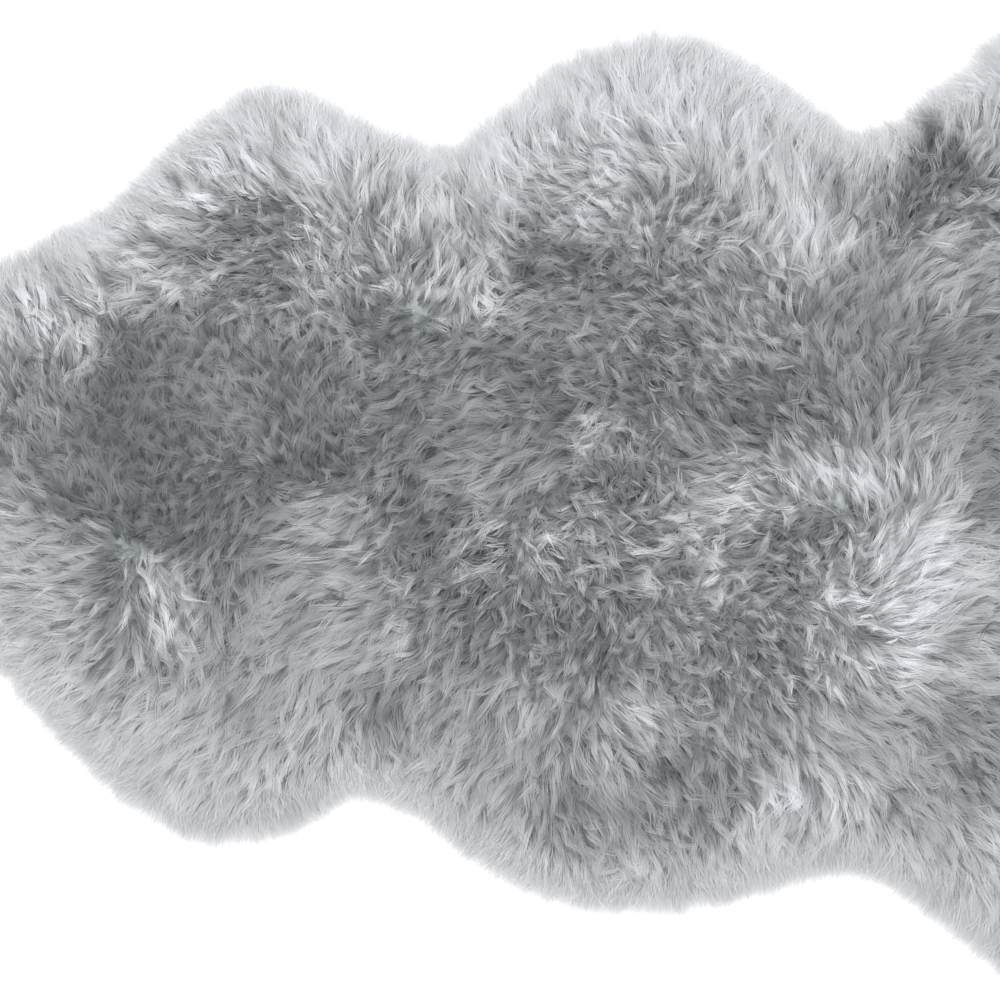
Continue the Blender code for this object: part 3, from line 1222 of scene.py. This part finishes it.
    def _strands(
        self, roots: np.ndarray, paths: np.ndarray, standing: np.ndarray, kind: Lock
    ) -> tuple[np.ndarray, np.ndarray]:
        """Spreads the strands of each lock round its middle line.

        Args:
            roots: The roots in plan.
            paths: The locks' middle lines.
            standing: How far each lock stands proud. The lower ones are painted darker, as in the shade of
                their neighbours.
            kind: What the locks are made up of.

        Returns:
            The strands' points, by strand, station, side and axis, and their colours by strand and station.
        """
        rng, form = self.rng, self.strand
        lock = np.repeat(np.arange(len(roots)), kind.strands)
        count = len(lock)
        parting = self.combing.openness(roots)[lock]
        length = rng.uniform(*form.length_range, count)
        loose = rng.random(count) < kind.loose_share
        angle, radius = rng.uniform(0, 2 * math.pi, count), np.sqrt(rng.random(count)) * kind.width
        offset = np.stack([np.cos(angle), np.sin(angle), rng.normal(0, form.lock_flatness, count)], axis=1)
        offset *= radius[:, None]
        stray = rng.normal(0, 1, (count, 3)).clip(-2, 2)
        stray = stray * np.where(loose, form.loose_stray, form.stray)[:, None] * form.stray_shape
        shares = np.array(form.stations)
        at = (shares[None, :] * length[:, None]).clip(0, form.longest) * self.growth.steps
        below = at.astype(int).clip(0, self.growth.steps - 1)
        part = (at - below)[..., None]
        middle = paths[lock[:, None], below] * (1 - part) + paths[lock[:, None], below + 1] * part
        drawn = form.closed_gathering + (1 - form.closed_gathering) * parting
        gathered = np.where(loose, form.loose_gathering, kind.gathering * drawn)
        gather = 1 - gathered[:, None] * shares**0.8
        middle += offset[:, None, :] * gather[..., None] + stray[:, None, :] * (shares**1.5)[None, :, None]
        middle[..., 2] = np.maximum(middle[..., 2], form.least_height)
        run = np.gradient(middle, axis=1)
        run /= np.linalg.norm(run, axis=2, keepdims=True) + 1e-9
        flat = np.cross(run, (0, 0, 1))
        flat /= np.linalg.norm(flat, axis=2, keepdims=True) + 1e-6
        tilt = rng.normal(0, form.tilt, count)[:, None, None]
        side = flat * np.cos(tilt) + np.cross(run, flat) * np.sin(tilt)
        width = kind.strand_width * rng.uniform(*form.width_range, count)[:, None]
        points = blades(middle, side, width * (1 - form.taper * shares**1.4))
        points[:, -1] = middle[:, -1:, :]
        aside = (offset * flat[:, 1]).sum(axis=1) / kind.width
        # Painted shade: lower locks are darker as in their neighbours' shade, and a lock's side strands as
        # in its own.
        even, parted = form.height_shades
        shadow = form.height_shade * (even + parted * parting) * standing[lock].clip(*form.standing_range)
        shadow -= form.side_shade * parting * aside**2
        # The marks paint shade into the gaps and highlights onto the bright locks.
        tone = self.combing.tone.read(middle[..., :2]) * np.exp(self._marks(middle) + shadow[:, None])
        # Painted shade along each strand, darkest at its root and deepest where the wool parts.
        root = (form.soft_root + (form.parted_root - form.soft_root) * parting)[:, None]
        ramp = root + (1 - root) * (shares[None, :] * length[:, None]) ** form.root_fade
        return points, self._coloured(form.tip_shade * ramp * tone)

    def _painted_gaps(self) -> np.ndarray:
        """Draws the many small gaps of painted shade, with a few painted highlights, where the wool parts.

        Returns:
            Their places and sizes, in the columns of the named marks.
        """
        rng, gaps = self.rng, self.gaps
        places = rng.uniform(*self.pelt.box(), (gaps.trials, 2))
        inside = self.pelt.depth.read(places) > self.root_inset
        places = places[inside & (rng.random(len(places)) < self.combing.openness(places) ** 3)]
        count = len(places)
        spread = gaps.combed_spread + gaps.curl_spread * self.combing.curl.read(places)
        heading = self.combing.heading(places) + rng.normal(0, 1, count) * spread
        length, breadth = rng.uniform(*gaps.length_range, count), rng.uniform(*gaps.breadth_range, count)
        change = -rng.uniform(*gaps.depth_range, count)
        change = np.where(rng.random(count) < gaps.bright_share, gaps.bright_change * change, change)
        return np.column_stack([places, length, breadth, heading, change])

    def _painted_tufts(self, marks: np.ndarray) -> tuple[np.ndarray, np.ndarray]:
        """Lays short strands in each mark: dark ones stand for the shade in a gap, bright ones are a painted
        highlight where a lock catches the light.

        Args:
            marks: The marks' places and sizes.

        Returns:
            The strands' points and their colours.
        """
        rng, painted_tuft = self.rng, self.painted_tuft
        along, across, length, breadth, heading, change = np.repeat(marks, painted_tuft.strands, axis=0).T
        count = len(along)
        side = rng.uniform(-0.5, 0.5, count)
        run = rng.normal(0, painted_tuft.run_spread, count) * length
        bend = np.repeat(rng.normal(0, painted_tuft.bend_spread, len(marks)), painted_tuft.strands)
        reach = painted_tuft.reach * length * rng.uniform(*painted_tuft.reach_range, count)
        ahead = run[:, None] + reach[:, None] * np.array(painted_tuft.stations)
        aside = (side * breadth)[:, None] + bend[:, None] * ahead**2 / length[:, None]
        turn = (heading + rng.normal(0, painted_tuft.turn_spread, count))[:, None]
        cos, sin = np.cos(turn), np.sin(turn)
        plan = np.stack([ahead * cos - aside * sin, ahead * sin + aside * cos], axis=2)
        plan += np.column_stack([along, across])[:, None, :]
        height = self.pelt.lay.read(plan) + self.tip_proud
        height += rng.normal(0, painted_tuft.height_spread, count)[:, None]
        middle = np.concatenate([plan, height.clip(self.growth.least_height)[..., None]], axis=2)
        width = painted_tuft.width * rng.uniform(*painted_tuft.width_range, count)[:, None] * np.array(painted_tuft.width_shape)
        points = blades(middle, np.stack([-sin, cos, 0 * turn], axis=2), width)
        # Painted shade and painted highlights: the strands darken in a gap and lighten on a bright lock.
        strength = np.where(change > 0, painted_tuft.bright_strength, painted_tuft.dark_strength) * change
        fade = (strength * (1 - 2 * side**2))[:, None] * np.array(painted_tuft.strength_shape)
        return points, self._coloured(painted_tuft.shade * self.combing.tone.read(plan) * np.exp(fade))

    def _marks(self, middle: np.ndarray) -> np.ndarray:
        """Finds the gap's painted shade or the bright lock's painted highlight on each stretch of strand.

        Args:
            middle: The strands' middle lines, by strand and station.

        Returns:
            The strongest mark on each station or halfway to its neighbours.
        """
        plan = middle[..., :2]
        halfway = self.combing.marks.read((plan[:, 1:] + plan[:, :-1]) / 2)
        marks = self.combing.marks.read(plan)
        for ends in ((1, 0), (0, 1)):
            beside = np.pad(halfway, ((0, 0), ends), mode="edge")
            marks = np.where(np.abs(beside) > np.abs(marks), beside, marks)
        return marks

    def _coloured(self, shades: np.ndarray) -> np.ndarray:
        """Turns shades into colours, a little cooler where the wool is dark.

        Args:
            shades: How light each point is.

        Returns:
            The points' colours.
        """
        dark_end, light_end = self.shadow_range
        light = ((shades[..., None] - dark_end) / (light_end - dark_end)).clip(0, 1)
        tint = np.array(self.shadow_tint) * (1 - light) + np.array(self.light_tint) * light
        return shades[..., None].clip(self.darkest, self.lightest) * tint

    def _piece(
        self, name: str, points: np.ndarray, colours: np.ndarray, material: bpy.types.Material
    ) -> bpy.types.Object:
        """Makes one mesh of many strands.

        Args:
            name: The piece's name.
            points: The strands' points, by strand, station, side and axis.
            colours: The strands' colours, by strand and station.
            material: The wool's material.

        Returns:
            The piece.
        """
        count, last = len(points), len(self.strand.stations) - 1
        per = 2 * last + 1
        flat = points.reshape(count, -1, 3)[:, :per]
        quads = [(2 * k, 2 * k + 1, 2 * k + 3, 2 * k + 2) for k in range(last - 1)]
        tip = (per - 3, per - 2, per - 1)
        one = np.array([point for quad in quads for point in quad] + list(tip))
        corners = (np.arange(count)[:, None] * per + one).ravel()
        sizes = np.tile([4] * len(quads) + [3], count)
        mesh = bpy.data.meshes.new(name)
        mesh.vertices.add(count * per)
        mesh.vertices.foreach_set("co", flat.ravel())
        mesh.loops.add(len(corners))
        mesh.loops.foreach_set("vertex_index", corners)
        mesh.polygons.add(len(sizes))
        mesh.polygons.foreach_set("loop_start", np.append(0, np.cumsum(sizes)[:-1]))
        mesh.polygons.foreach_set("loop_total", sizes)
        mesh.update(calc_edges=True)
        mesh.shade_smooth()
        paint(mesh, self.finish.attribute, np.repeat(colours, 2, axis=1)[:, :per].reshape(-1, 3))
        self._map(mesh, count, one)
        mesh.materials.append(material)
        piece = bpy.data.objects.new(name, mesh)
        bpy.context.collection.objects.link(piece)
        ride_on_rug(piece)
        log.info("%s: %d strands, %d triangles", name, count, count * (2 * len(quads) + 1))
        return piece

    def _map(self, mesh: bpy.types.Mesh, count: int, one: np.ndarray) -> None:
        """Lays every strand in a cell of its own on the piece's map.

        Args:
            mesh: The strands.
            count: How many there are.
            one: The corners of one strand's faces.
        """
        columns = math.ceil(math.sqrt(count))
        last = len(self.strand.stations) - 1
        across = np.array([*self.cell_across * last, sum(self.cell_across) / 2])
        root, tip = self.cell_along
        along = np.array([root + (tip - root) * (point // 2) / last for point in range(2 * last)] + [tip])
        cell = np.stack([across, along], axis=1)[one]
        strand = np.arange(count)
        corner = np.stack([strand % columns, strand // columns], axis=1)
        places = (corner[:, None, :] + cell[None, :, :]) / columns
        layer = mesh.uv_layers.new(name="OFBake")
        layer.data.foreach_set("uv", places.astype(np.float32).ravel())


@dataclass
class Studio:
    """A pale floor, soft light from above and a camera that looks straight down."""

    view_width: float = 0.680
    view_centre: tuple[float, float] = (-0.0255, -0.0044)
    lens: float = 150.0
    sensor: float = 36.0
    wool_height: float = 0.040
    floor_shade: float = 0.72
    floor_height: float = -0.0005
    floor_size: float = 12
    sky: float = 1.20
    key_place: tuple[float, float, float] = (-0.20, 0.45, 2.8)
    key_size: float = 2.2
    key_power: float = 115.0

    def build(self) -> None:
        """Sets up the floor, the lights, the sky and the camera."""
        self._floor()
        self._lights()
        self._camera()
        bpy.context.scene.view_settings.view_transform = "Standard"

    def _floor(self) -> None:
        """Lays the pale floor."""
        deselect_all()
        bpy.ops.mesh.primitive_plane_add(size=self.floor_size, location=(0, 0, self.floor_height))
        floor = bpy.context.object
        floor.name = "floor"
        material, shader = new_material("pale_floor", roughness=1.0)
        shader.inputs["Base Color"].default_value = (self.floor_shade,) * 3 + (1,)
        shader.inputs["Specular IOR Level"].default_value = 0.0
        floor.data.materials.append(material)

    def _lights(self) -> None:
        """Hangs one large soft light past the left flank, under an even sky."""
        world = bpy.data.worlds.new("studio_sky")
        bpy.context.scene.world = world
        world.use_nodes = True
        background = world.node_tree.nodes["Background"]
        background.inputs["Color"].default_value = (1, 1, 1, 1)
        background.inputs["Strength"].default_value = self.sky
        deselect_all()
        bpy.ops.object.light_add(type="AREA", location=self.key_place)
        key = bpy.context.object
        key.name = "key_light"
        key.data.size, key.data.energy = self.key_size, self.key_power
        key.rotation_euler = (-key.location).to_track_quat("-Z", "Y").to_euler()

    def _camera(self) -> None:
        """Hangs the camera over the rug, with the left flank at the top of its view."""
        distance = self.view_width * self.lens / self.sensor
        deselect_all()
        bpy.ops.object.camera_add(location=(*self.view_centre, self.wool_height + distance))
        camera = bpy.context.object
        camera.data.lens, camera.data.sensor_width = self.lens, self.sensor
        bpy.context.scene.camera = camera


def main() -> None:
    """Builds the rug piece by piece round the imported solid, then the studio."""
    logging.basicConfig(level=logging.INFO, format="%(message)s")
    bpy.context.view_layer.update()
    rng = np.random.default_rng(SEED)
    pelt = Pelt(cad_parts[SHEEPSKIN_NODE])
    log.info("pelt: %d points on its edge", len(pelt.edge))
    combing = Combing(pelt, rng)
    hide_maker = Hide(pelt)
    hide = hide_maker.build()
    underwool_maker = Underwool(pelt, combing, rng)
    underwool = underwool_maker.build()
    fleece = Fleece(pelt, combing, underwool_maker, rng).build()
    Studio().build()


if __name__ == "__main__":
    main()
